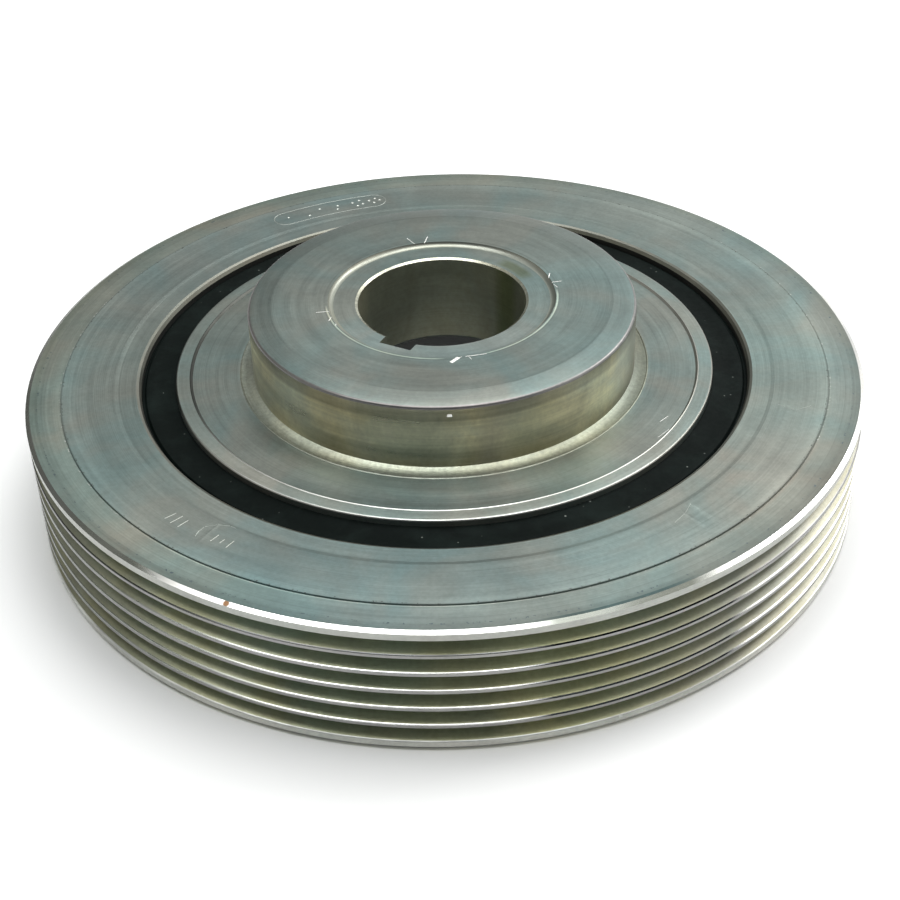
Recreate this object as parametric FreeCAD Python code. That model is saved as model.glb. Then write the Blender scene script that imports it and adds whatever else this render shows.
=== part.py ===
# Harmonic balancer: a keyed hub, a rubber ring and an inertia ring with belt grooves.
# Millimetres. The crankshaft axis is Z, with the front of the engine facing +Z.
# The origin is on that axis, in the plane of the inertia ring's rear face.
import FreeCAD, Part
import math
import os

from FreeCAD import Vector

# radial build: the hub's rim, then the rubber, then the inertia ring
rimRadius = 48.5
rubberThickness = 6.2
ringWidth = 20.3

# inertia ring
ringBoreChamfer = 0.8
flangeWidth = 1.75
flangeChamferWidth = 0.72
flangeChamferDrop = 0.36

# belt grooves, a standard multi-rib section
grooveCount = 6
groovePitch = 3.56
grooveAngle = 40.0
tipLand = 0.72
rootWidth = 0.7

# turned steps on the ring's front face
outerBandWidth = 6.25
outerBandDrop = 0.2
innerBandWidth = 4.35
innerBandDrop = 0.15

# hub
rimWidth = 6.5
rimChamfer = 0.4
rimDepth = 21.0
rimLandWidth = 2.5
webDrop = 0.3
webThickness = 4.8
webTaper = 2.0

# boss on the front of the hub
bossRadius = 34.5
bossHeight = 12.95
bossBevelWidth = 4.1
bossBevelDrop = 0.55
bossEdgeChamfer = 0.4
bossFootRounding = 2.2
recessRadius = 20.25
recessDepth = 0.7
recessWallRun = 1.2

# crankshaft bore and its seat on the back of the web
boreRadius = 15.0
boreChamfer = 0.5
boreBackChamfer = 1.0
seatRadius = 24.0
seatHeight = 0.5

# keyway
keyWidth = 6.0
keyDepth = 2.2
keyAngle = 241.2

# rubber ring
rubberDrop = 1.2
rubberDepth = 20.0
bondClearance = 0.05

# short straight steps that make up each rounding
roundingSteps = 2

# radii and levels that follow from the sizes above
ringBoreRadius = rimRadius + rubberThickness
ringRadius = ringBoreRadius + ringWidth
openingWidth = groovePitch - tipLand
ringHeight = 2 * flangeWidth + grooveCount * groovePitch - tipLand
webFace = ringHeight - webDrop
webBack = webFace - webThickness
seatFace = webBack - seatHeight
bossFace = webFace + bossHeight
recessFloor = bossFace - recessDepth
rubberFace = ringHeight - rubberDrop


def rounded(corners):
    """Outline points from (radius, height, rounding) corners, each rounding in short steps."""
    points = []
    for index, (r, z, rounding) in enumerate(corners):
        corner = Vector(r, 0, z)
        if rounding == 0:
            points.append(corner)
            continue
        beforeR, beforeZ, _ = corners[index - 1]
        afterR, afterZ, _ = corners[(index + 1) % len(corners)]
        before = (Vector(beforeR, 0, beforeZ) - corner).normalize()
        after = (Vector(afterR, 0, afterZ) - corner).normalize()
        half = before.getAngle(after) / 2
        centre = corner + (before + after).normalize() * (rounding / math.sin(half))
        start = corner + before * (rounding / math.tan(half)) - centre
        end = corner + after * (rounding / math.tan(half)) - centre
        for step in range(roundingSteps + 1):
            share = step / roundingSteps
            turn = math.pi - 2 * half
            early = math.sin((1 - share) * turn) / math.sin(turn)
            late = math.sin(share * turn) / math.sin(turn)
            points.append(centre + start * early + end * late)
    return points


def revolved(corners):
    points = rounded(corners)
    outline = Part.Face(Part.makePolygon(points + points[:1]))
    return outline.revolve(Vector(0, 0, 0), Vector(0, 0, 1), 360)


def grooveCorners():
    """Flat-bottomed V-grooves, from the rear flange forwards."""
    halfTop = openingWidth / 2
    halfRoot = rootWidth / 2
    depth = (halfTop - halfRoot) / math.tan(math.radians(grooveAngle / 2))
    corners = []
    for index in range(grooveCount):
        middle = flangeWidth + halfTop + index * groovePitch
        corners += [
            (ringRadius, middle - halfTop, 0),
            (ringRadius - depth, middle - halfRoot, 0),
            (ringRadius - depth, middle + halfRoot, 0),
            (ringRadius, middle + halfTop, 0),
        ]
    return corners


def makePulleyRing():
    outerFace = ringHeight - outerBandDrop
    innerFace = ringHeight - innerBandDrop
    outerStep = ringRadius - outerBandWidth
    innerStep = ringBoreRadius + innerBandWidth
    rear = [
        (ringBoreRadius, 0, 0),
        (ringRadius - flangeChamferWidth, 0, 0),
        (ringRadius, flangeChamferDrop, 0),
    ]
    front = [
        (ringRadius, outerFace - flangeChamferDrop, 0),
        (ringRadius - flangeChamferWidth, outerFace, 0),
        (outerStep, outerFace, 0),
        (outerStep, ringHeight, 0),
        (innerStep, ringHeight, 0),
        (innerStep, innerFace, 0),
        (ringBoreRadius + ringBoreChamfer, innerFace, 0),
        (ringBoreRadius, innerFace - ringBoreChamfer, 0),
    ]
    return revolved(rear + grooveCorners() + front)


def makeRubberRing():
    inner = rimRadius + bondClearance
    outer = ringBoreRadius - bondClearance
    low = rubberFace - rubberDepth
    return revolved([
        (inner, low, 0),
        (outer, low, 0),
        (outer, rubberFace, 0),
        (inner, rubberFace, 0),
    ])


def makeHub():
    rimBore = rimRadius - rimWidth
    rimLow = ringHeight - rimDepth
    landRadius = rimRadius - rimLandWidth
    body = revolved([
        (boreRadius, seatFace + boreBackChamfer, 0),
        (boreRadius + boreBackChamfer, seatFace, 0),
        (seatRadius, seatFace, 0),
        (seatRadius, webBack, 0),
        (rimBore - webTaper, webBack, 0),
        (rimBore, webBack - webTaper, 0),
        (rimBore, rimLow, 0),
        (rimRadius, rimLow, 0),
        (rimRadius, ringHeight - rimChamfer, 0),
        (rimRadius - rimChamfer, ringHeight, 0),
        (landRadius, ringHeight, 0),
        (landRadius - webDrop, webFace, 0),
        (bossRadius, webFace, bossFootRounding),
        (bossRadius, bossFace - bossBevelDrop - bossEdgeChamfer, 0),
        (bossRadius - bossEdgeChamfer, bossFace - bossBevelDrop, 0),
        (bossRadius - bossBevelWidth, bossFace, 0),
        (recessRadius, bossFace, 0),
        (recessRadius - recessWallRun, recessFloor, 0),
        (boreRadius + boreChamfer, recessFloor, 0),
        (boreRadius, recessFloor - boreChamfer, 0),
    ])
    slot = Part.makeBox(
        boreRadius + keyDepth, keyWidth, recessFloor - seatFace,
        Vector(0, -keyWidth / 2, seatFace))
    slot.rotate(Vector(0, 0, 0), Vector(0, 0, 1), keyAngle)
    return body.cut(slot)


def main():
    os.makedirs("parts", exist_ok=True)
    pieces = {
        "hub": makeHub(),
        "rubber_ring": makeRubberRing(),
        "pulley_ring": makePulleyRing(),
    }
    for node, shape in pieces.items():
        box = shape.BoundBox
        print(node, shape.isValid(), len(shape.Solids), round(shape.Volume, 1),
              "z", round(box.ZMin, 3), round(box.ZMax, 3), "x", round(box.XMax, 3))
        shape.exportStep("parts/" + node + ".step")


main()
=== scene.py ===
import math
import time

import bpy
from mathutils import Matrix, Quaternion, Vector


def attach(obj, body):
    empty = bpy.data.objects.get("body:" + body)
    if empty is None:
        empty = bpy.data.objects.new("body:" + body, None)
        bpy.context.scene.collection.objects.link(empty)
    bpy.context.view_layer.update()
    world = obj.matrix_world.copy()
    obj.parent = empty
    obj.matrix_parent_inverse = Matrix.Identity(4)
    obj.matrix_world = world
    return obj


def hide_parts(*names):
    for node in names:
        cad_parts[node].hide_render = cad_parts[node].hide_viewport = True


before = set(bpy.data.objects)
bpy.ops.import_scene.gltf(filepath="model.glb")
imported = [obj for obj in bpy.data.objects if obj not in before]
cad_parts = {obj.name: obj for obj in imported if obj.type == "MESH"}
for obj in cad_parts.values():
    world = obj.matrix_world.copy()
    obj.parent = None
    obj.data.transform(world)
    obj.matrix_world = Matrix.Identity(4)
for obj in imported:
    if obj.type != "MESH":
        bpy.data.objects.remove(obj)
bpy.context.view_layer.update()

mm = 0.001
began = time.time()


def report(stage):
    print(stage, "done at", round(time.time() - began, 1), "s")


# camera and studio, in metres

studio = {
    "cameraPlace": (0.0, -0.261623, 0.190005),
    "cameraAim": (0.000627, 0.004524, 0.0),
    "cameraRoll": -1.818,        # degrees about the line of sight
    "focalLength": 68.0,         # mm, like the sensor's width
    "sensorWidth": 36.0,
    "nearest": 0.01,
    "farthest": 30.0,
    "floorSize": 6.0,
    "floorLevel": -0.0002,
    "floorTone": 0.95,
    "floorRoughness": 0.9,
    "floorShine": 0.1,
    "hollowGlow": 0.02,          # under the part, seen through the bore
    "floorGlow": 0.18,           # outside the part's own shadow
    "glowRise": (0.07, 0.11),    # distances from the axis between which the glow grows
    # brightness of the air from the left side to the right
    "air": [
        (-1.0, (0.5, 0.48, 0.44)),
        (-0.75, (0.3, 0.3, 0.29)),
        (-0.4, (0.2, 0.21, 0.2)),
        (-0.2, (0.21, 0.23, 0.225)),
        (-0.16, (0.30, 0.33, 0.32)),
        (0.0, (0.46, 0.49, 0.48)),
        (0.13, (0.55, 0.58, 0.57)),
        (0.2, (0.76, 0.79, 0.78)),
        (0.6, (0.8, 0.8, 0.78)),
        (1.0, (0.8, 0.77, 0.72)),
    ],
    "airRise": (0.44, 0.62),     # heights between which the air grows brighter
    "airGain": (1.1, 1.4),
    # the air in front is dark, except right overhead
    "frontTint": (0.1, 0.11, 0.115, 1),
    "frontBorder": (-0.1, -0.75),
    "overheadBorder": (0.99, 0.85),
}


def makeCamera():
    data = bpy.data.cameras.new("photoCamera")
    camera = bpy.data.objects.new("photoCamera", data)
    bpy.context.scene.collection.objects.link(camera)
    data.lens = studio["focalLength"]
    data.sensor_width = studio["sensorWidth"]
    data.clip_start = studio["nearest"]
    data.clip_end = studio["farthest"]
    place, aim = Vector(studio["cameraPlace"]), Vector(studio["cameraAim"])
    roll = Quaternion((0, 0, 1), math.radians(studio["cameraRoll"]))
    camera.location = place
    camera.rotation_mode = "QUATERNION"
    camera.rotation_quaternion = (aim - place).to_track_quat("-Z", "Y") @ roll
    bpy.context.scene.camera = camera


# node helpers

def addNode(tree, kind, inputs=None, **settings):
    added = tree.nodes.new(kind)
    for name, value in settings.items():
        setattr(added, name, value)
    for name, value in (inputs or {}).items():
        if isinstance(value, bpy.types.NodeSocket):
            tree.links.new(value, added.inputs[name])
        else:
            added.inputs[name].default_value = value
    return added


def maths(tree, operation, first, second=0.0):
    return addNode(tree, "ShaderNodeMath", {0: first, 1: second}, operation=operation).outputs[0]


def vectors(tree, operation, first, second=(0, 0, 0)):
    return addNode(tree, "ShaderNodeVectorMath", {0: first, 1: second}, operation=operation).outputs[0]


def vectorValue(tree, operation, first, second=(0, 0, 0)):
    node = addNode(tree, "ShaderNodeVectorMath", {0: first, 1: second}, operation=operation)
    return node.outputs["Value"]


def scaled(tree, vector, amount):
    return addNode(tree, "ShaderNodeVectorMath", {0: vector, "Scale": amount}, operation="SCALE").outputs[0]


def spread(tree, value, low, high, newLow=0.0, newHigh=1.0):
    inputs = {"Value": value, "From Min": low, "From Max": high, "To Min": newLow, "To Max": newHigh}
    return addNode(tree, "ShaderNodeMapRange", inputs).outputs[0]


def mixColour(tree, share, first, second, blend="MIX"):
    # sockets 0, 6 and 7 are the share and the two colours
    inputs = {0: share, 6: first, 7: second}
    return addNode(tree, "ShaderNodeMix", inputs, data_type="RGBA", blend_type=blend).outputs[2]


def grey(tree, tone):
    return addNode(tree, "ShaderNodeCombineColor", {0: tone, 1: tone, 2: tone}).outputs[0]


def tinted(tree, colour, tint, share=1.0):
    return mixColour(tree, share, colour, tint, "MULTIPLY")


def noise(tree, vector, scale, detail=2.0, roughness=0.5, distortion=0.0):
    inputs = {"Vector": vector, "Scale": scale, "Detail": detail, "Roughness": roughness,
              "Distortion": distortion}
    return addNode(tree, "ShaderNodeTexNoise", inputs).outputs[0]


def addBump(tree, shader, height, strength, depth=0.1):
    inputs = {"Strength": strength, "Distance": depth * mm, "Height": height}
    bump = addNode(tree, "ShaderNodeBump", inputs)
    tree.links.new(bump.outputs[0], shader.inputs["Normal"])


def newMaterial(name):
    material = bpy.data.materials.new(name)
    material.use_nodes = True
    return material, material.node_tree, material.node_tree.nodes["Principled BSDF"]


def turnedPlaces(tree):
    # object place, distance from the axis, direction from the axis and height
    place = addNode(tree, "ShaderNodeTexCoord").outputs["Object"]
    flat = vectors(tree, "MULTIPLY", place, (1, 1, 0))
    radius = vectorValue(tree, "LENGTH", flat)
    around = vectors(tree, "NORMALIZE", flat)
    height = addNode(tree, "ShaderNodeSeparateXYZ", {0: place}).outputs["Z"]
    return place, radius, around, height


def turnedLines(tree, around, along, spacing, drift):
    # noise drawn out round the axis, with lines about spacing mm apart
    step = maths(tree, "MULTIPLY", along, 1 / (spacing * mm))
    lift = addNode(tree, "ShaderNodeCombineXYZ", {"Z": step}).outputs[0]
    return noise(tree, vectors(tree, "ADD", scaled(tree, around, drift), lift), 1.0)


def toneBands(tree, along, bands):
    # tone or colour that follows the distance from the axis or the height, from (mm, tone) pairs
    low, high = bands[0][0], bands[-1][0]
    ramp = addNode(tree, "ShaderNodeValToRGB", {"Fac": spread(tree, along, low * mm, high * mm)})
    stops = ramp.color_ramp.elements
    while len(stops) < len(bands):
        stops.new(0.5)
    for stop, (where, tone) in zip(stops, bands):
        stop.position = (where - low) / (high - low)
    for stop, (where, tone) in zip(stops, bands):
        stop.color = (tone, tone, tone, 1) if isinstance(tone, float) else (*tone, 1)
    return ramp.outputs["Color"]


# soft-edged areas of a finish, sizes in mm and degrees

def spotShare(tree, place, centre, size, core=0.6):
    # 1 round a place on the piece, falling to 0 from the spot's core to its full size
    away = vectorValue(tree, "DISTANCE", place, [part * mm for part in centre])
    return spread(tree, away, size * mm, size * core * mm)


def bandShare(tree, along, low, high, edge=0.05):
    # 1 between two distances from the axis
    rise = spread(tree, along, (low - edge) * mm, low * mm)
    fall = spread(tree, along, (high + edge) * mm, high * mm)
    return maths(tree, "MULTIPLY", rise, fall)


def patchShare(tree, radius, around, rings, sector):
    # 1 between two distances from the axis and two directions, with soft borders
    low, high, fade = rings
    middle, half, soft = sector
    toward = (math.cos(math.radians(middle)), math.sin(math.radians(middle)), 0)
    line = vectorValue(tree, "DOT_PRODUCT", around, toward)
    within = spread(tree, line, math.cos(math.radians(half + soft)), math.cos(math.radians(half)))
    return maths(tree, "MULTIPLY", within, bandShare(tree, radius, low, high, fade))


# turned iron, the finish of both irons; the borders say which part of a noise counts

ironWash = {
    "stainBorder": (0.38, 0.62),
    "cloudScale": 0.35,          # of the stains' own scale
    "cloudBorder": (0.52, 0.68),
    "smearAround": 0.8,          # how far a smear is drawn out round the axis
    "smearAcross": 42.0,
    "smearScale": 1.3,
    "smearBorder": (0.32, 0.68),
    "lineBorder": (0.3, 0.7),
    "broadDrift": 0.7,           # of the fine lines' drift
    "grainScale": 1400.0,
    "grainBorder": (0.25, 0.75),
    "speckScale": 1900.0,
    "speckBorder": 0.05,
    "roughBorder": (0.35, 0.65),
    "roughByLines": 0.04,
    "roughByStains": 0.03,
}


def washColour(tree, look, place, around, stain):
    # a thin wash in cool and warm tints, with clouds and smears over it
    wash = ironWash
    cloud = noise(tree, place, look["stainScale"] * wash["cloudScale"], distortion=1.5)
    cool, warm = (*look["coolTint"], 1), (*look["warmTint"], 1)
    colour = mixColour(tree, spread(tree, stain, *wash["stainBorder"]), cool, warm)
    colour = mixColour(tree, spread(tree, cloud, *wash["cloudBorder"]), colour, (*look["stainTint"], 1))
    drawnOut = vectors(tree, "ADD", scaled(tree, around, wash["smearAround"]),
                       scaled(tree, place, wash["smearAcross"]))
    smear = noise(tree, drawnOut, wash["smearScale"], detail=4.0, roughness=0.6, distortion=0.8)
    tone = spread(tree, smear, *wash["smearBorder"], 1 - look["smearTone"], 1 + look["smearTone"])
    return tinted(tree, colour, grey(tree, tone))


def lineTone(tree, look, fine, broad):
    border = ironWash["lineBorder"]
    fineTone = spread(tree, fine, *border, -look["fineTone"], look["fineTone"])
    broadTone = spread(tree, broad, *border, 1 - look["broadTone"], 1 + look["broadTone"])
    return maths(tree, "ADD", fineTone, broadTone)


def ironRoughness(tree, look, broad, stain):
    byLines, byStains = ironWash["roughByLines"], ironWash["roughByStains"]
    lines = spread(tree, broad, *ironWash["lineBorder"], look["roughness"] - byLines,
                   look["roughness"] + byLines)
    return maths(tree, "ADD", lines, spread(tree, stain, *ironWash["roughBorder"], -byStains, byStains))


def addWearAndPaintedLight(tree, look, colour, place, radius, around):
    # patches of another tint, mostly painted light and shade by direction round the axis, ragged specks along
    # a turned edge, and round spots
    for rings, sector, tint in look.get("patches", ()):
        colour = tinted(tree, colour, (*tint, 1), patchShare(tree, radius, around, rings, sector))
    for low, high, limit, tint in look.get("specks", ()):
        flecks = noise(tree, place, ironWash["speckScale"], roughness=0.6)
        bits = spread(tree, flecks, limit, limit + ironWash["speckBorder"])
        share = maths(tree, "MULTIPLY", bits, bandShare(tree, radius, low, high))
        colour = mixColour(tree, share, colour, (*tint, 1))
    for centre, size, tint in look.get("spots", ()):
        colour = mixColour(tree, spotShare(tree, place, centre, size), colour, (*tint, 1))
    return colour


def turnedIron(name, look):
    material, tree, shader = newMaterial(name)
    place, radius, around, height = turnedPlaces(tree)
    along = radius if look["lines"] == "rings" else height
    fine = turnedLines(tree, around, along, look["fineSpacing"], look["drift"])
    broad = turnedLines(tree, around, along, look["broadSpacing"], look["drift"] * ironWash["broadDrift"])
    stain = noise(tree, place, look["stainScale"], detail=3.0, roughness=0.55, distortion=0.6)
    colour = washColour(tree, look, place, around, stain)
    colour = tinted(tree, colour, grey(tree, lineTone(tree, look, fine, broad)))
    if "bands" in look:
        colour = tinted(tree, colour, toneBands(tree, along, look["bands"]))
    grain = noise(tree, place, ironWash["grainScale"], roughness=0.6)
    grainTone = spread(tree, grain, *ironWash["grainBorder"], 1 - look["grainTone"], 1 + look["grainTone"])
    colour = tinted(tree, colour, grey(tree, grainTone))
    colour = addWearAndPaintedLight(tree, look, colour, place, radius, around)
    tree.links.new(colour, shader.inputs["Base Color"])
    tree.links.new(ironRoughness(tree, look, broad, stain), shader.inputs["Roughness"])
    shader.inputs["Metallic"].default_value = look["metallic"]
    addBump(tree, shader, fine, look["bump"])
    if look["streak"]:
        shader.inputs["Anisotropic"].default_value = look["streak"]
        tangent = vectors(tree, "CROSS_PRODUCT", around, (0, 0, 1))
        tree.links.new(tangent, shader.inputs["Tangent"])
    return material


# finishes that both irons share; spacings in mm

flatFace = {
    "lines": "rings",            # rings round the axis, or heights along it
    "fineSpacing": 0.16,
    "broadSpacing": 1.1,
    "drift": 2.2,
    "stainScale": 45.0,
    "coolTint": (0.178, 0.236, 0.226),
    "warmTint": (0.211, 0.224, 0.2),
    "stainTint": (0.214, 0.24, 0.219),
    "smearTone": 0.11,
    "fineTone": 0.07,
    "broadTone": 0.05,
    "grainTone": 0.08,
    "roughness": 0.4,
    "metallic": 0.8,
    "bump": 0.16,
    "streak": 0.3,
}
sideFace = dict(flatFace, lines="heights", streak=0.0)
bareEdge = {
    "lines": "rings",
    "fineSpacing": 0.2,
    "broadSpacing": 2.0,
    "drift": 8.0,
    "stainScale": 90.0,
    "coolTint": (0.86, 0.87, 0.86),
    "warmTint": (0.84, 0.83, 0.80),
    "stainTint": (0.72, 0.73, 0.68),
    "smearTone": 0.05,
    "fineTone": 0.03,
    "broadTone": 0.05,
    "grainTone": 0.03,
    "roughness": 0.26,
    "metallic": 1.0,
    "bump": 0.05,
    "streak": 0.0,
}
freshCut = dict(
    bareEdge, metallic=0.25, roughness=0.45,
    coolTint=(0.97, 0.97, 0.95), warmTint=(0.93, 0.93, 0.9), stainTint=(0.95, 0.95, 0.92))
dullCut = dict(
    freshCut, coolTint=(0.74, 0.76, 0.72), warmTint=(0.68, 0.7, 0.66), stainTint=(0.6, 0.62, 0.58))
stampedCut = dict(
    freshCut, metallic=0.5,
    coolTint=(0.62, 0.66, 0.62), warmTint=(0.55, 0.58, 0.54), stainTint=(0.5, 0.53, 0.49))
faintCut = dict(
    stampedCut, coolTint=(0.36, 0.4, 0.37), warmTint=(0.33, 0.36, 0.33), stainTint=(0.28, 0.3, 0.28))


# modelling helpers, sizes in mm

modelling = {
    "weld": 1e-6,                # metres
    "cornersPerMm": 50,          # how finely a corner's place is told
    "smoothAngle": 18,
    "bladeEdge": (0.75, 0.15),   # length and width of a blade's edge, as shares of its back
    "punchPoint": 0.3,           # radii of a punch, as shares of its dimple's
    "punchBack": 1.6,
    "punchSides": 12,
    "panelLift": 0.05,
    "panelSteps": 24,
    "panelEndSteps": 12,
}


def deselectAll():
    if bpy.context.object and bpy.context.object.mode != "OBJECT":
        bpy.ops.object.mode_set(mode="OBJECT")
    bpy.ops.object.select_all(action="DESELECT")


def makeActive(piece):
    deselectAll()
    piece.select_set(True)
    bpy.context.view_layer.objects.active = piece


def named(name):
    piece = bpy.context.object
    piece.name = name
    piece.data.name = name
    return piece


def editMode(kind="VERT"):
    bpy.ops.object.mode_set(mode="EDIT")
    bpy.ops.mesh.select_mode(type=kind)


def weldAll():
    bpy.ops.mesh.select_all(action="SELECT")
    bpy.ops.mesh.remove_doubles(threshold=modelling["weld"])


def turnOutline(name, outline, steps):
    # one corner, extruded along the outline and spun round the axis
    deselectAll()
    bpy.ops.mesh.primitive_plane_add(size=mm, location=(outline[0][0] * mm, 0, outline[0][1] * mm))
    piece = named(name)
    bpy.ops.object.transform_apply(location=True, rotation=False, scale=False)
    editMode()
    bpy.ops.mesh.select_all(action="SELECT")
    bpy.ops.mesh.merge(type="CENTER")
    for (r, z), (nextR, nextZ) in zip(outline, outline[1:] + outline[:1]):
        step = ((nextR - r) * mm, 0, (nextZ - z) * mm)
        bpy.ops.mesh.extrude_region_move(TRANSFORM_OT_translate={"value": step})
    weldAll()
    bpy.ops.mesh.spin(steps=steps, angle=2 * math.pi, center=(0, 0, 0), axis=(0, 0, 1))
    weldAll()
    bpy.ops.mesh.normals_make_consistent(inside=False)
    bpy.ops.object.mode_set(mode="OBJECT")
    return piece


def cornerKey(r, z):
    return round(r * modelling["cornersPerMm"]), round(z * modelling["cornersPerMm"])


def bevelLoop(piece, corner, width, segments):
    # rounds the edge loop that runs through this (radius, height) corner
    wanted = cornerKey(*corner)
    makeActive(piece)
    editMode("EDGE")
    bpy.ops.mesh.select_all(action="DESELECT")
    bpy.ops.object.mode_set(mode="OBJECT")
    mesh = piece.data
    keys = [cornerKey(math.hypot(v.co.x, v.co.y) / mm, v.co.z / mm) for v in mesh.vertices]
    for edge in mesh.edges:
        start, end = edge.vertices
        if keys[start] == keys[end] == wanted:
            edge.select = True
    bpy.ops.object.mode_set(mode="EDIT")
    bpy.ops.mesh.bevel(offset=width * mm, offset_type="OFFSET", segments=segments, profile=0.5,
                       affect="EDGES", clamp_overlap=False)
    bpy.ops.object.mode_set(mode="OBJECT")


def finishAt(zones, spot):
    # the first finish whose limits all hold
    for finish, limits in zones:
        if all(low < spot[name] < high for name, (low, high) in limits.items()):
            return finish


def finishFaces(piece, zones, materials):
    # each face takes its finish from its radius, its height and the way it faces
    names = list(materials)
    for name in names:
        piece.data.materials.append(materials[name])
    for face in piece.data.polygons:
        centre, normal = face.center, face.normal
        radius = math.hypot(centre.x, centre.y)
        spot = {
            "radius": radius / mm,
            "height": centre.z / mm,
            "outward": (normal.x * centre.x + normal.y * centre.y) / radius,
            "up": normal.z,
        }
        face.material_index = names.index(finishAt(zones, spot))


def smooth(piece):
    makeActive(piece)
    bpy.ops.object.shade_smooth_by_angle(angle=math.radians(modelling["smoothAngle"]))


def cutOut(piece, cutter):
    makeActive(piece)
    cut = piece.modifiers.new("cut", "BOOLEAN")
    cut.operation = "DIFFERENCE"
    cut.solver = "EXACT"
    cut.material_mode = "TRANSFER"
    cut.object = cutter
    bpy.ops.object.modifier_apply(modifier="cut")
    bpy.data.objects.remove(cutter)


def polar(r, degrees, z=0.0):
    turn = math.radians(degrees)
    return Vector((r * math.cos(turn), r * math.sin(turn), z))


def wedge(name, start, end, level, width, depth, material, edge=-1):
    # a blunt blade from start to end, as radius and degrees; its edge points down, or up where edge is 1
    start, end = polar(*start).xy, polar(*end).xy
    run = end - start
    deselectAll()
    bpy.ops.mesh.primitive_cube_add(size=1)
    blade = named(name)
    blade.scale = (run.length * mm, width * mm, 2 * depth * mm)
    bpy.ops.object.transform_apply(location=False, rotation=False, scale=True)
    editMode("FACE")
    bpy.ops.mesh.select_all(action="DESELECT")
    bpy.ops.object.mode_set(mode="OBJECT")
    for face in blade.data.polygons:
        face.select = face.normal.z * edge > 0.5
    bpy.ops.object.mode_set(mode="EDIT")
    bpy.ops.transform.resize(value=(*modelling["bladeEdge"], 1), center_override=(0, 0, edge * depth * mm))
    bpy.ops.object.mode_set(mode="OBJECT")
    middle = (start + end) / 2
    blade.location = (middle.x * mm, middle.y * mm, level * mm)
    blade.rotation_euler = (0, 0, math.atan2(run.y, run.x))
    bpy.ops.object.transform_apply(location=True, rotation=True, scale=False)
    blade.data.materials.append(material)
    return blade


def punch(name, spot, level, radius, depth, material):
    # a blunt point that leaves a small dimple
    deselectAll()
    bpy.ops.mesh.primitive_cone_add(
        vertices=modelling["punchSides"], radius1=modelling["punchPoint"] * radius * mm,
        radius2=modelling["punchBack"] * radius * mm, depth=2 * depth * mm,
        location=(spot[0] * mm, spot[1] * mm, level * mm))
    point = named(name)
    bpy.ops.object.transform_apply(location=True, rotation=False, scale=False)
    point.data.materials.append(material)
    return point


def stadiumBlade(name, look, level, material):
    # a V-shaped blade that follows a long rounded outline, curved round the axis
    radius, start, end, width = look["radius"], look["start"], look["end"], look["width"]
    deselectAll()
    bpy.ops.mesh.primitive_circle_add(vertices=3, radius=0.5 * mm)
    blade = named(name)
    lift = modelling["panelLift"]
    section = [(-width / 2, lift), (width / 2, lift), (0.0, -look["depth"])]
    for corner, (aside, rise) in zip(blade.data.vertices, section):
        corner.co = polar(radius + look["half"] + aside, start, level + rise) * mm
    editMode("EDGE")
    bpy.ops.mesh.select_all(action="SELECT")
    sweep = math.radians(end - start)
    long, short = modelling["panelSteps"], modelling["panelEndSteps"]
    for centre, turn, steps in (
            ((0, 0, 0), sweep, long), (polar(radius, end) * mm, math.pi, short),
            ((0, 0, 0), -sweep, long), (polar(radius, start) * mm, math.pi, short)):
        bpy.ops.mesh.spin(steps=steps, angle=-turn, center=centre, axis=(0, 0, 1))
    weldAll()
    bpy.ops.mesh.normals_make_consistent(inside=False)
    bpy.ops.object.mode_set(mode="OBJECT")
    blade.data.materials.append(material)
    return blade


def joined(name, pieces):
    deselectAll()
    for piece in pieces:
        piece.select_set(True)
    bpy.context.view_layer.objects.active = pieces[0]
    bpy.ops.object.join()
    return named(name)


far = 1000.0     # a limit that nothing reaches

# inertia ring with its belt grooves

ring = {
    "radius": 75.0,
    "boreRadius": 54.7,
    "height": 24.14,
    "boreChamfer": 0.8,
    "boreTurn": (0.35, 0.2),     # a corner within the bore's chamfer, out from the bore and down
    "rearChamfer": 0.6,
    "edgeWidth": 0.72,
    "edgeDrop": 0.36,
    "outerBand": 68.75,
    "outerDrop": 0.2,
    "creaseWidth": 0.1,
    "creaseSlope": 0.06,
    "creaseDepth": 0.03,
    "innerBand": 59.05,
    "innerDrop": 0.15,
    "innerSlope": 0.3,           # half the width of the inner step
    "innerHold": 0.45,           # the loops that keep its slope off the flats
    "flange": 1.75,
    "grooves": 6,
    "pitch": 3.56,
    "halfOpening": 1.42,
    "halfRoot": 0.35,
    "depth": 2.94,
    # corners down from a rib's bright upper edge, as depth and height
    "tipFacet": ((0.0, 0.22), (0.06, 0.08), (0.2, 0.0)),
    "steps": 360,
}


def grooveOutline():
    # a facet along the rib's upper edge, then a flat-bottomed V, from the rear flange forwards
    r, outline = ring["radius"], []
    for index in range(ring["grooves"]):
        middle = ring["flange"] + ring["halfOpening"] + index * ring["pitch"]
        outline += [(r - deep, middle - ring["halfOpening"] - high) for deep, high in ring["tipFacet"]]
        outline += [
            (r - ring["depth"], middle - ring["halfRoot"]),
            (r - ring["depth"], middle + ring["halfRoot"]),
            (r, middle + ring["halfOpening"]),
        ]
    return outline


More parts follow.
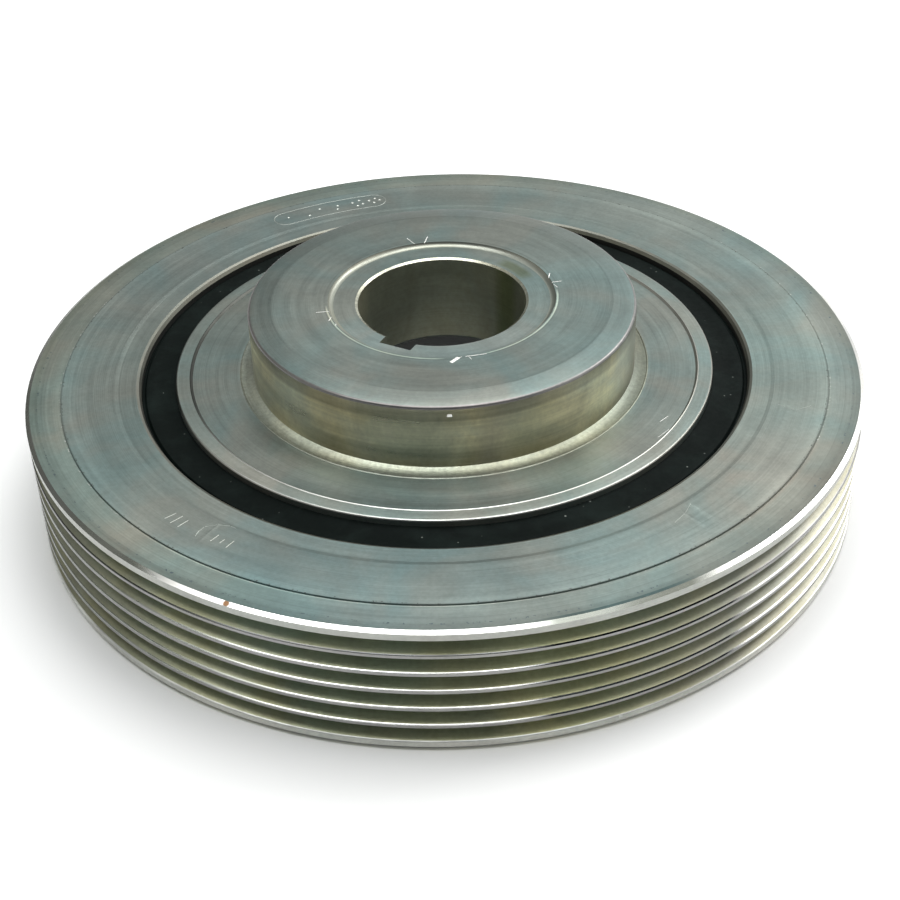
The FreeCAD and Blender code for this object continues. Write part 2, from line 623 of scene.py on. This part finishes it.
def ringOutline():
    r, bore, top = ring["radius"], ring["boreRadius"], ring["height"]
    outerFace, innerFace = top - ring["outerDrop"], top - ring["innerDrop"]
    outer, inner = ring["outerBand"], ring["innerBand"]
    crease = outerFace - ring["creaseDepth"]
    turnWidth, turnDrop = ring["boreTurn"]
    return [
        (bore, 0.0),
        (r - ring["rearChamfer"], 0.0),
        (r, ring["rearChamfer"]),
        *grooveOutline(),
        (r, outerFace - ring["edgeDrop"]),
        (r - ring["edgeWidth"], outerFace),
        (outer + ring["creaseWidth"] + ring["creaseSlope"], outerFace),
        (outer + ring["creaseWidth"], crease),
        (outer, crease),
        (outer, top),
        (inner + ring["innerHold"], top),
        (inner + ring["innerSlope"], top),
        (inner - ring["innerSlope"], innerFace),
        (inner - ring["innerHold"], innerFace),
        (bore + ring["boreChamfer"], innerFace),
        (bore + turnWidth, innerFace - turnDrop),
        (bore, innerFace - ring["boreChamfer"]),
    ]


# which finish a face takes: the first row whose limits it meets

ringZones = [
    ("boreEdge", {"radius": (0, 55.45), "up": (0.2, 0.99)}),
    ("boreWall", {"radius": (0, 55.45), "up": (-far, 0.2)}),
    ("face", {"up": (0.99, far)}),
    ("face", {"up": (-far, -0.9)}),
    ("face", {"radius": (0, 70)}),
    ("flange", {"outward": (0.97, far), "height": (-far, 1.8)}),
    ("flange", {"outward": (0.97, far), "height": (22.0, far)}),
    ("land", {"outward": (0.97, far)}),
    ("flangeEdge", {"height": (23.0, far)}),
    ("rearEdge", {"radius": (74.8, far), "height": (-far, 1.8), "up": (0.3, 0.9)}),
    ("edge", {"radius": (74.8, far), "up": (0.3, 0.9)}),
    ("groove", {}),
]

# patches: rings as low, high and fade, sector as middle, half and soft border in degrees, tint; most patches
# are painted light and shade by direction round the axis
# specks: low, high, limit of the noise, tint; spots: centre, size, tint

wholeEdge = (70.0, 76.0, 1.0)
duskTint = (0.3, 0.31, 0.29)     # where the bright edges turn away from the light
ringFinishes = {
    "face": ("ringFaceIron", dict(
        flatFace,
        bands=[
            (54.0, 1.04), (58.3, 1.0), (58.9, 0.95), (59.4, 0.93), (60.3, 1.0), (63.0, 1.0),
            (66.5, 1.06), (68.5, 1.24), (68.72, 0.7), (69.0, 1.1), (71.5, 1.1), (71.65, 0.9),
            (71.8, 1.02), (72.6, 1.0), (73.2, 0.84), (74.4, 0.8),
        ],
        specks=[
            (68.9, 69.1, 0.6, (0.5, 0.52, 0.48)),
            (68.45, 68.72, 0.6, (0.07, 0.075, 0.07)),
            (72.75, 73.1, 0.6, (0.1, 0.13, 0.14)),
        ],
        # painted light and shade by direction: cooler at the front, brighter at the front-right, the right,
        # the back and the left, and a painted highlight along the outer step's edge at the front; besides, a
        # darker bluish band lies beside the outer chamfer at the front-right
        patches=[
            ((54.0, 75.0, 1.0), (268.0, 16.0, 30.0), (1.0, 1.08, 1.13)),
            ((54.0, 68.7, 1.0), (311.0, 14.0, 22.0), (1.24, 1.12, 1.08)),
            ((54.0, 68.7, 1.0), (356.0, 10.0, 16.0), (1.04, 1.02, 1.0)),
            ((69.0, 75.0, 0.3), (308.0, 22.0, 20.0), (1.12, 1.02, 0.97)),
            ((73.75, 74.25, 0.08), (290.0, 6.0, 5.0), (0.5, 0.6, 0.62)),
            ((68.94, 69.08, 0.04), (254.0, 22.0, 10.0), (1.8, 1.76, 1.68)),
            ((69.0, 75.0, 0.3), (160.0, 80.0, 20.0), (1.17, 1.1, 1.04)),
            ((73.0, 75.0, 0.5), (100.0, 80.0, 30.0), (1.14, 1.14, 1.1)),
            ((54.0, 68.7, 1.0), (130.0, 14.0, 26.0), (1.16, 1.14, 1.16)),
        ])),
    "edge": ("ringBareEdge", dict(
        bareEdge, lines="heights",
        # painted shade: the bands dim the top rib's edge to a quarter, duskTint darkens the rib edges on the
        # left, and the edges turn nearly black at the front-right
        bands=[(0.0, 1.0), (17.0, 1.0), (18.5, 0.25), (24.0, 0.25)],
        patches=[
            (wholeEdge, (185.0, 53.0, 14.0), duskTint),
            (wholeEdge, (293.5, 12.0, 5.0), (0.03, 0.032, 0.034)),
        ])),
    # a darker copy of the bare edge: painted shade on the bottom flange's upper edge
    "rearEdge": ("ringRearEdge", dict(
        bareEdge, roughness=0.34, coolTint=(0.45, 0.46, 0.44), warmTint=(0.42, 0.42, 0.4))),
    "flangeEdge": ("ringFlangeEdge", dict(
        bareEdge,
        spots=[(polar(74.6, 243.0, 23.7), 0.7, (0.15, 0.085, 0.045))],
        # painted shade: the top chamfer is dimmed on the left and at the front-right
        patches=[
            (wholeEdge, (185.0, 44.0, 9.0), duskTint),
            (wholeEdge, (290.5, 8.5, 5.0), (0.25, 0.26, 0.24)),
        ])),
    "flange": ("ringFlangeIron", dict(
        sideFace, roughness=0.36,
        coolTint=(0.47, 0.485, 0.45), warmTint=(0.48, 0.475, 0.44), stainTint=(0.43, 0.445, 0.41),
        # painted light and shade by height: the rear flange, at the floor, is painted lighter and the front
        # flange darker
        bands=[(0.0, 1.2), (2.0, 1.2), (22.0, 0.82), (24.0, 0.82)])),
    "boreWall": ("ringBoreWall", dict(
        sideFace, metallic=0.3, roughness=0.6,
        coolTint=(0.02, 0.022, 0.02), warmTint=(0.03, 0.03, 0.026), stainTint=(0.02, 0.022, 0.02))),
    "land": ("ringTipLand", dict(
        sideFace, roughness=0.34,
        coolTint=(0.29, 0.285, 0.29), warmTint=(0.29, 0.29, 0.275), stainTint=(0.27, 0.27, 0.26))),
    "groove": ("ringGrooveIron", dict(
        sideFace, fineSpacing=0.25, roughness=0.42,
        coolTint=(0.38, 0.39, 0.28), warmTint=(0.40, 0.395, 0.24), stainTint=(0.34, 0.36, 0.24),
        # painted light and shade by direction: brighter at the front-right, whiter and cooler at the right,
        # darker at the left
        patches=[
            (wholeEdge, (290.0, 8.0, 8.0), (1.32, 1.26, 1.12)),
            (wholeEdge, (335.0, 30.0, 20.0), (0.94, 0.92, 1.16)),
            (wholeEdge, (195.0, 25.0, 20.0), (0.7, 0.7, 0.74)),
        ])),
    "boreEdge": ("ringBoreEdge", dict(
        bareEdge, roughness=0.42,
        coolTint=(0.2, 0.21, 0.185), warmTint=(0.22, 0.215, 0.185), stainTint=(0.2, 0.2, 0.17))),
}

# marks cut into the ring: places are a radius in mm and degrees round the axis

ringMarks = {
    # from, to, width and depth
    "strokes": [
        ((62.1, 225.3), (64.5, 225.0), 0.26, 0.12),
        ((61.9, 226.6), (64.7, 226.4), 0.3, 0.14),
        ((62.0, 228.0), (64.6, 227.9), 0.26, 0.12),
        ((63.0, 231.0), (64.5, 231.5), 0.16, 0.06),
        ((61.9, 234.1), (64.1, 234.0), 0.28, 0.13),
        ((62.3, 235.5), (63.6, 235.4), 0.3, 0.14),
        ((61.8, 236.9), (64.1, 236.8), 0.26, 0.12),
        ((60.4, 341.8), (63.7, 340.9), 0.13, 0.05),
        ((63.7, 340.9), (66.25, 342.8), 0.12, 0.05),
        ((62.2, 304.7), (61.4, 307.6), 0.12, 0.04),
        ((61.4, 307.6), (60.2, 310.1), 0.12, 0.04),
    ],
    "brightWidth": 0.24,         # wider strokes are bright
    # a thin bent scratch
    "hook": [(64.0, 231.2), (61.8, 231.0), (60.2, 232.3), (59.3, 234.2), (59.3, 235.3)],
    "hookWidth": 0.12,
    "hookDepth": 0.04,
    # small dimples, and a bare outline round them
    "pips": [
        (64.9, 102.0), (63.2, 102.4), (64.0, 101.2), (64.3, 103.2), (65.0, 105.0), (62.8, 105.7),
        (63.3, 104.6), (64.4, 106.4), (64.3, 109.3), (62.9, 109.7), (64.5, 112.8), (62.8, 115.4),
        (64.2, 119.2),
    ],
    "pipRadius": 0.28,
    "pipDepth": 0.1,
    "brightPips": 107,           # degrees below which a dimple is bright
    "panel": {"radius": 64.0, "half": 2.6, "start": 102.4, "end": 119.7, "width": 0.3, "depth": 0.07},
    # from, to, height and width
    "nicks": [
        ((75.0, 316.3), (75.0, 317.0), 6.1, 0.35),
        ((75.0, 289.8), (75.0, 290.4), 1.4, 0.4),
    ],
    "nickDepth": 0.25,
}


def markRing(piece):
    marks, top = ringMarks, ring["height"]
    bright = turnedIron("ringFreshCut", dullCut)
    stamped = turnedIron("ringStampedCut", stampedCut)
    faint = turnedIron("ringFaintCut", faintCut)
    tools = []
    for start, end, width, depth in marks["strokes"]:
        finish = bright if width > marks["brightWidth"] else stamped
        tools.append(wedge("stroke", start, end, top, width, depth, finish))
    for start, end in zip(marks["hook"], marks["hook"][1:]):
        tools.append(wedge("hook", start, end, top, marks["hookWidth"], marks["hookDepth"], stamped))
    for radius, degrees in marks["pips"]:
        finish = bright if degrees < marks["brightPips"] else stamped
        spot = polar(radius, degrees)
        tools.append(punch("pip", spot, top, marks["pipRadius"], marks["pipDepth"], finish))
    for start, end, height, width in marks["nicks"]:
        tools.append(wedge("nick", start, end, height, width, marks["nickDepth"], bright))
    tools.append(stadiumBlade("panelBlade", marks["panel"], top, faint))
    for tool in tools:
        cutOut(piece, tool)


def makeRing():
    piece = turnOutline("ringTurned", ringOutline(), ring["steps"])
    print("ring", len(piece.data.vertices), "corners")
    faces = {part: turnedIron(*look) for part, look in ringFinishes.items()}
    finishFaces(piece, ringZones, faces)
    markRing(piece)
    smooth(piece)
    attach(piece, "root")
    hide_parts("pulley_ring")


# hub with its boss, bore and keyway

hub = {
    "boreRadius": 15.0,
    "boreBackChamfer": 1.0,
    "boreEdge": (0.45, 0.25),    # width and drop of the slant at the bore's upper edge
    "recessRadius": 20.25,
    "recessFloor": 36.09,
    "recessRounding": 1.0,
    "recessLip": 0.06,           # how far below the boss's face its wall starts
    "recessSteps": 6,
    "recessBevel": 0.08,
    "bossRadius": 34.5,
    "bossFace": 36.79,
    "bevelWidth": 4.1,
    "bevelDrop": 0.55,
    "bevelTurn": (0.15, 0.02),   # how softly the bevel meets the face
    "edgeRounding": 0.45,
    "footRadius": 36.7,
    "footRounding": 4.4,
    "footSteps": 6,
    "footStep": 5,               # degrees
    # corners of the thin raised line round the foot, out and up
    "footLine": ((0.6, 0.0), (0.3, 0.0), (0.14, 0.08), (0.02, 0.01)),
    "wallHold": (1.0, 1.2),      # loops that keep the wall straight, above the web and below the bevel
    "web": 23.84,
    "webHold": 44.0,
    "rimFace": 24.14,
    "rimRadius": 48.5,
    # corners of the rim's rounded edge, in and down
    "rimEdge": ((0.0, 0.25), (0.1, 0.08), (0.25, 0.02), (0.45, 0.0)),
    "landInner": 45.75,
    # corners of the thin raised line at the land's inner edge, out and up
    "landLine": ((0.5, 0.0), (0.24, 0.0), (0.08, 0.07), (0.0, 0.0)),
    "landSlope": 0.3,
    "rimLow": 3.14,
    "rimBore": 42.0,
    "webBack": 19.04,
    "webTaper": 2.0,
    "seatRadius": 24.0,
    "seatFace": 18.54,
    "faceHold": 0.3,             # loop beside the recess
    "floorHold": 3.2,            # loop on the recess floor, out from the bore
    "keyWidth": 6.0,
    "keyReach": 17.2,
    "keyAngle": 241.2,
    "keyLevel": 27.0,            # middle and height of the box that cuts the keyway
    "keyTall": 24.0,
    "steps": 360,
}


def hubBack():
    # from the bore's rear edge over the seat, the web and the rim's inner side
    return [
        (hub["boreRadius"], hub["seatFace"] + hub["boreBackChamfer"]),
        (hub["boreRadius"] + hub["boreBackChamfer"], hub["seatFace"]),
        (hub["seatRadius"], hub["seatFace"]),
        (hub["seatRadius"], hub["webBack"]),
        (hub["rimBore"] - hub["webTaper"], hub["webBack"]),
        (hub["rimBore"], hub["webBack"] - hub["webTaper"]),
        (hub["rimBore"], hub["rimLow"]),
        (hub["rimRadius"], hub["rimLow"]),
    ]


def rimAndWeb():
    # the rim's edge and land, then the web up to the foot of the boss
    return [
        *[(hub["rimRadius"] - aside, hub["rimFace"] - down) for aside, down in hub["rimEdge"]],
        *[(hub["landInner"] + aside, hub["rimFace"] + up) for aside, up in hub["landLine"]],
        (hub["landInner"] - hub["landSlope"], hub["web"]),
        (hub["webHold"], hub["web"]),
        *[(hub["footRadius"] + aside, hub["web"] + up) for aside, up in hub["footLine"]],
    ]


def footCove():
    # the hollow rounding at the foot of the boss, cut off where it meets the wall
    r, low, rounding = hub["footRadius"], hub["web"], hub["footRounding"]
    turns = [math.radians(hub["footStep"] * step) for step in range(hub["footSteps"] + 1)]
    return [(r - rounding * math.sin(turn), low + rounding * (1 - math.cos(turn))) for turn in turns]


def bossSide():
    aboveWeb, belowBevel = hub["wallHold"]
    turnWidth, turnDrop = hub["bevelTurn"]
    bevelLow, bevelInner = hub["bossFace"] - hub["bevelDrop"], hub["bossRadius"] - hub["bevelWidth"]
    return [
        (hub["bossRadius"], hub["web"] + aboveWeb),
        (hub["bossRadius"], bevelLow - belowBevel),
        (hub["bossRadius"], bevelLow),
        (bevelInner + turnWidth, hub["bossFace"] - turnDrop),
        (bevelInner, hub["bossFace"]),
        (bevelInner - turnWidth, hub["bossFace"]),
        (hub["recessRadius"] + hub["faceHold"], hub["bossFace"]),
        (hub["recessRadius"], hub["bossFace"]),
    ]


def recessWall():
    # a short wall that curves into the recess floor
    r, low = hub["recessRadius"], hub["recessFloor"]
    rounding, steps = hub["recessRounding"], hub["recessSteps"]
    lift = hub["bossFace"] - hub["recessLip"] - low
    start = math.acos(1 - lift / rounding)
    turns = [start * (1 - step / steps) for step in range(steps + 1)]
    return [(r - rounding * (math.sin(start) - math.sin(turn)), low + rounding * (1 - math.cos(turn)))
            for turn in turns]


def recessFloor():
    r, low = hub["boreRadius"], hub["recessFloor"]
    width, drop = hub["boreEdge"]
    return [(r + hub["floorHold"], low), (r + width, low), (r, low - drop)]


# rows of the same kind for the hub

hubZones = [
    ("recessEdge", {"radius": (18.8, 20.4), "height": (36.07, far), "up": (-far, 0.999)}),
    ("landEdge", {"radius": (45.5, 48.6), "height": (23.9, far), "up": (0.5, 0.95)}),
    ("bossEdge", {"radius": (33.4, far), "height": (34.5, far), "up": (0.05, 0.97)}),
    ("bore", {"radius": (0, 15.2), "outward": (-far, -0.6)}),
    ("edge", {"radius": (0, 16.1), "up": (0.2, 0.95)}),
    ("wall", {"radius": (34.3, 34.8), "height": (24.0, far), "outward": (0.99, far)}),
    ("foot", {"radius": (34.5, 37.0), "height": (-far, 26.1), "up": (0.2, 0.9999)}),
    ("face", {}),
]

wholeWall = (30.0, 40.0, 1.0)
hubFinishes = {
    "face": ("hubFaceIron", dict(
        flatFace,
        bands=[
            (15.0, 1.0), (20.2, 1.02), (20.7, 1.05), (20.8, 0.78), (21.1, 1.0), (30.0, 0.97),
            (30.35, 0.84), (30.6, 0.93), (33.2, 0.93), (36.0, 1.05), (37.2, 1.1), (37.6, 0.95),
            (41.0, 0.94), (41.1, 0.85), (41.3, 0.98), (43.1, 0.96), (43.2, 0.86), (43.4, 1.0),
            (45.6, 0.96), (46.1, 1.12), (48.4, 1.1),
        ],
        # all patches but the yellowish stain on the recess floor at 37 degrees are painted light: painted
        # highlights along the recess rim at the front-left and front-right, and painted light on the web, the
        # recess floor and the land at the front
        patches=[
            ((20.48, 20.68, 0.08), (228.0, 38.0, 5.0), (2.3, 2.2, 2.0)),
            ((20.48, 20.68, 0.08), (326.0, 33.0, 5.0), (2.5, 2.4, 2.2)),
            ((16.4, 17.9, 0.8), (37.0, 8.0, 7.0), (0.74, 0.74, 0.56)),
            ((36.9, 40.0, 4.0), (263.0, 22.0, 18.0), (2.0, 1.98, 1.98)),
            ((15.4, 18.6, 1.4), (270.0, 40.0, 30.0), (1.4, 1.34, 1.36)),
            ((46.0, 48.4, 0.4), (265.0, 40.0, 25.0), (1.3, 1.22, 1.2)),
        ])),
    # the wall's tints are far lighter than the face's: painted light on a wall that the lamps barely reach;
    # its bands run darker towards the web and just under the bevel, and its patches are painted shade at the
    # right and the front
    "wall": ("hubWallIron", dict(
        sideFace, fineSpacing=0.4, broadSpacing=1.6, drift=2.2, stainScale=75.0,
        coolTint=(0.68, 0.70, 0.56), warmTint=(0.80, 0.76, 0.53), stainTint=(0.70, 0.70, 0.60),
        smearTone=0.2, broadTone=0.12, metallic=0.85, roughness=0.33,
        bands=[(25.5, 0.72), (26.5, 0.8), (28.5, 1.0), (32.6, 1.05), (33.3, 1.15), (33.9, 0.8), (35.8, 0.68)],
        patches=[
            (wholeWall, (5.0, 22.0, 25.0), (0.52, 0.48, 0.46)),
            (wholeWall, (264.0, 24.0, 22.0), (0.8, 0.77, 0.7)),
        ])),
    "foot": ("hubFootIron", dict(
        flatFace, grainTone=0.2, smearTone=0.08, metallic=0.85, roughness=0.42, streak=0.0,
        coolTint=(0.29, 0.32, 0.28), warmTint=(0.31, 0.32, 0.265), stainTint=(0.29, 0.305, 0.26),
        # painted light at the front and painted shade at the right
        patches=[
            ((33.0, 35.2, 1.2), (258.0, 40.0, 35.0), (1.9, 1.88, 1.8)),
            ((33.0, 38.0, 1.0), (350.0, 30.0, 30.0), (0.62, 0.62, 0.58)),
        ])),
    "bossEdge": ("hubBossEdge", dict(
        sideFace, fineSpacing=0.5, drift=1.5, metallic=0.95, roughness=0.36,
        coolTint=(0.22, 0.22, 0.215), warmTint=(0.24, 0.225, 0.22), stainTint=(0.22, 0.22, 0.215))),
    "landEdge": ("hubLandEdge", dict(
        bareEdge, roughness=0.38,
        coolTint=(0.56, 0.57, 0.54), warmTint=(0.5, 0.5, 0.47), stainTint=(0.45, 0.45, 0.42),
        # painted shade where the edge turns from the light: darker at the back and left, and at the right
        patches=[
            ((44.0, 49.0, 1.0), (135.0, 62.0, 25.0), (0.12, 0.125, 0.12)),
            ((44.0, 49.0, 1.0), (5.0, 35.0, 20.0), (0.6, 0.6, 0.58)),
        ])),
    "recessEdge": ("hubRecessEdge", dict(
        bareEdge, drift=3.0, roughness=0.4,
        coolTint=(0.34, 0.355, 0.31), warmTint=(0.33, 0.335, 0.28), stainTint=(0.3, 0.31, 0.26))),
    "edge": ("hubBareEdge", dict(
        bareEdge, grainTone=0.25, stainScale=160.0,
        coolTint=(0.6, 0.6, 0.5), warmTint=(0.52, 0.51, 0.4), stainTint=(0.4, 0.4, 0.33))),
    "bore": ("hubBoreIron", dict(
        sideFace, roughness=0.42,
        coolTint=(0.30, 0.32, 0.25), warmTint=(0.32, 0.32, 0.23), stainTint=(0.28, 0.3, 0.2),
        # a darker olive patch at 37 degrees: a painted reflection in the bore
        patches=[((14.0, 17.5, 1.0), (37.0, 4.0, 9.0), (0.72, 0.78, 0.55))])),
}

# marks cut into the hub, as from, to, width and depth

hubMarks = {
    "stakes": [
        ((20.0, 103.2), (23.0, 105.8), 0.2, 0.08),
        ((20.0, 98.4), (22.6, 95.7), 0.3, 0.14),
        ((19.9, 14.4), (21.0, 20.1), 0.3, 0.2),
        ((19.9, 10.8), (22.1, 10.7), 0.34, 0.22),
        ((20.3, 8.6), (20.9, 5.0), 0.16, 0.06),
        ((20.45, 279.6), (20.75, 291.2), 0.3, 0.14),
        ((20.2, 281.5), (21.65, 282.6), 0.14, 0.05),
        ((19.9, 191.1), (22.7, 190.4), 0.36, 0.24),
        ((20.0, 195.7), (21.1, 199.9), 0.26, 0.16),
        ((20.1, 203.2), (20.5, 205.3), 0.26, 0.12),
        ((20.0, 278.6), (22.0, 272.8), 1.1, 0.3),
    ],
    "scratches": [
        ((43.0, 328.2), (43.7, 331.5), 0.16, 0.05),
        ((44.9, 322.5), (45.4, 327.0), 0.1, 0.04),
    ],
    # a small raised chip on the boss's wall
    "chip": ((34.5, 270.3), (34.5, 271.8), 0.7, 0.14),
    "chipLevel": 34.8,
}


def cutKeyway(piece, material):
    reach = hub["keyReach"]
    deselectAll()
    bpy.ops.mesh.primitive_cube_add(size=1, location=(reach / 2 * mm, 0, hub["keyLevel"] * mm))
    slot = named("keySlot")
    slot.scale = (reach * mm, hub["keyWidth"] * mm, hub["keyTall"] * mm)
    bpy.ops.object.transform_apply(location=True, rotation=False, scale=True)
    slot.rotation_euler = (0, 0, math.radians(hub["keyAngle"]))
    bpy.ops.object.transform_apply(location=False, rotation=True, scale=False)
    slot.data.materials.append(material)
    cutOut(piece, slot)


def markHub(piece):
    bright = turnedIron("hubFreshCut", freshCut)
    tools = []
    for start, end, width, depth in hubMarks["stakes"]:
        tools.append(wedge("stake", start, end, hub["bossFace"], width, depth, bright))
    for start, end, width, depth in hubMarks["scratches"]:
        tools.append(wedge("scratch", start, end, hub["web"], width, depth, bright))
    for tool in tools:
        cutOut(piece, tool)
    start, end, width, depth = hubMarks["chip"]
    chipIron = turnedIron("hubChip", freshCut)
    chip = wedge("chip", start, end, hubMarks["chipLevel"], width, depth, chipIron, edge=1)
    return joined("hubTurned", [piece, chip])


def makeHub():
    outline = [*hubBack(), *rimAndWeb(), *footCove(), *bossSide(), *recessWall(), *recessFloor()]
    piece = turnOutline("hubTurned", outline, hub["steps"])
    bossEdge = (hub["bossRadius"], hub["bossFace"] - hub["bevelDrop"])
    bevelLoop(piece, bossEdge, hub["edgeRounding"], segments=5)
    bevelLoop(piece, (hub["recessRadius"], hub["bossFace"]), hub["recessBevel"], segments=2)
    faces = {part: turnedIron(*look) for part, look in hubFinishes.items()}
    finishFaces(piece, hubZones, faces)
    cutKeyway(piece, faces["bore"])
    piece = markHub(piece)
    smooth(piece)
    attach(piece, "root")
    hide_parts("hub")


# rubber ring between the two irons

rubber = {
    "inner": 48.55,
    "outer": 54.65,
    "low": 2.94,
    "face": 22.9,
    "dip": 0.25,
    # corners where the rubber falls away from the ring, in and down
    "fall": ((0.0, 0.75), (0.45, 0.7), (0.8, 0.25)),
    "dipSteps": 8,
    "steps": 240,
}
rubberFinish = {
    "dark": (0.002, 0.0042, 0.0036, 1),
    "dusty": (0.007, 0.012, 0.0105, 1),
    "crumb": (0.22, 0.24, 0.22, 1),
    "grainScale": 900.0,
    "dustScale": 140.0,
    "dustBorder": (0.45, 0.8),
    "crumbScale": 520.0,
    "crumbSize": (0.1, 0.05),
    "crumbBorder": (0.5, 0.62),
    "grainBorder": (0.3, 0.7),
    "roughness": (0.5, 0.65),
    "shine": 0.06,
    "bump": 0.25,
}


def rubberOutline():
    inner, outer, face, steps = rubber["inner"], rubber["outer"], rubber["face"], rubber["dipSteps"]
    outline = [(inner, rubber["low"]), (outer, rubber["low"])]
    outline += [(outer - aside, face - down) for aside, down in rubber["fall"]]
    for step in range(2, steps):
        share = step / steps
        dip = rubber["dip"] * math.sin(math.pi * share)
        outline.append((outer + (inner - outer) * share, face - dip))
    outline.append((inner, face))
    return outline


def damperRubber():
    look = rubberFinish
    material, tree, shader = newMaterial("damperRubber")
    place = addNode(tree, "ShaderNodeTexCoord").outputs["Object"]
    grain = noise(tree, place, look["grainScale"], detail=3.0, roughness=0.6)
    dust = noise(tree, place, look["dustScale"], detail=4.0, roughness=0.6, distortion=0.4)
    colour = mixColour(tree, spread(tree, dust, *look["dustBorder"]), look["dark"], look["dusty"])
    inputs = {"Vector": place, "Scale": look["crumbScale"], "Randomness": 1.0}
    cells = addNode(tree, "ShaderNodeTexVoronoi", inputs).outputs["Distance"]
    crumbs = maths(tree, "MULTIPLY", spread(tree, cells, *look["crumbSize"]),
                   spread(tree, dust, *look["crumbBorder"]))
    colour = mixColour(tree, crumbs, colour, look["crumb"])
    tree.links.new(colour, shader.inputs["Base Color"])
    rough = spread(tree, grain, *look["grainBorder"], *look["roughness"])
    tree.links.new(rough, shader.inputs["Roughness"])
    shader.inputs["Specular IOR Level"].default_value = look["shine"]
    addBump(tree, shader, grain, look["bump"])
    return material


def makeRubber():
    piece = turnOutline("rubberRing", rubberOutline(), rubber["steps"])
    piece.data.materials.append(damperRubber())
    smooth(piece)
    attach(piece, "root")
    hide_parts("rubber_ring")


# lights, air and floor

lights = {
    "overhead": {"place": (-0.15, -0.05, 0.92), "aim": (-0.15, -0.05, 0), "size": (1.02, 0.4), "power": 4.4},
    "behind": {"place": (0.08, 0.37, 0.92), "aim": (0.08, 0.37, 0), "size": (0.56, 0.44), "power": 2.7},
    "right": {"place": (0.74, 0.45, 0.70), "aim": (0, 0, 0.02), "size": (0.55, 0.5), "power": 4.2},
}


def makeLights():
    for name, look in lights.items():
        data = bpy.data.lights.new(name, "AREA")
        data.shape = "RECTANGLE"
        data.size, data.size_y = look["size"]
        data.energy = look["power"]
        lamp = bpy.data.objects.new(name, data)
        bpy.context.scene.collection.objects.link(lamp)
        place, aim = Vector(look["place"]), Vector(look["aim"])
        lamp.location = place
        lamp.rotation_mode = "QUATERNION"
        lamp.rotation_quaternion = (aim - place).to_track_quat("-Z", "Y")


def makeAir():
    world = bpy.data.worlds.new("studioAir")
    bpy.context.scene.world = world
    world.use_nodes = True
    tree = world.node_tree
    back = tree.nodes["Background"]
    direction = addNode(tree, "ShaderNodeTexCoord").outputs["Generated"]
    way = addNode(tree, "ShaderNodeSeparateXYZ", {0: direction})
    front = spread(tree, way.outputs["Y"], *studio["frontBorder"])
    low = spread(tree, way.outputs["Z"], *studio["overheadBorder"])
    air = toneBands(tree, maths(tree, "MULTIPLY", way.outputs["X"], mm), studio["air"])
    gain = spread(tree, way.outputs["Z"], *studio["airRise"], *studio["airGain"])
    air = tinted(tree, air, grey(tree, gain))
    colour = mixColour(tree, maths(tree, "MULTIPLY", front, low), air, studio["frontTint"])
    tree.links.new(colour, back.inputs["Color"])
    back.inputs["Strength"].default_value = 1.0


def makeFloor():
    deselectAll()
    bpy.ops.mesh.primitive_plane_add(size=studio["floorSize"], location=(0, 0, studio["floorLevel"]))
    floor = named("studioFloor")
    bpy.ops.object.transform_apply(location=True, rotation=False, scale=False)
    material, tree, shader = newMaterial("studioPaper")
    shader.inputs["Base Color"].default_value = (*[studio["floorTone"]] * 3, 1)
    shader.inputs["Roughness"].default_value = studio["floorRoughness"]
    shader.inputs["Specular IOR Level"].default_value = studio["floorShine"]
    shader.inputs["Emission Color"].default_value = (1, 1, 1, 1)
    away = vectorValue(tree, "LENGTH", addNode(tree, "ShaderNodeTexCoord").outputs["Object"])
    glow = spread(tree, away, *studio["glowRise"], studio["hollowGlow"], studio["floorGlow"])
    tree.links.new(glow, shader.inputs["Emission Strength"])
    floor.data.materials.append(material)


makeCamera()
makeAir()
makeFloor()
makeLights()
report("studio")
makeRing()
report("ring")
makeHub()
report("hub")
makeRubber()
report("rubber")

bpy.context.scene.view_settings.view_transform = "Standard"
bpy.context.scene.view_settings.look = "None"
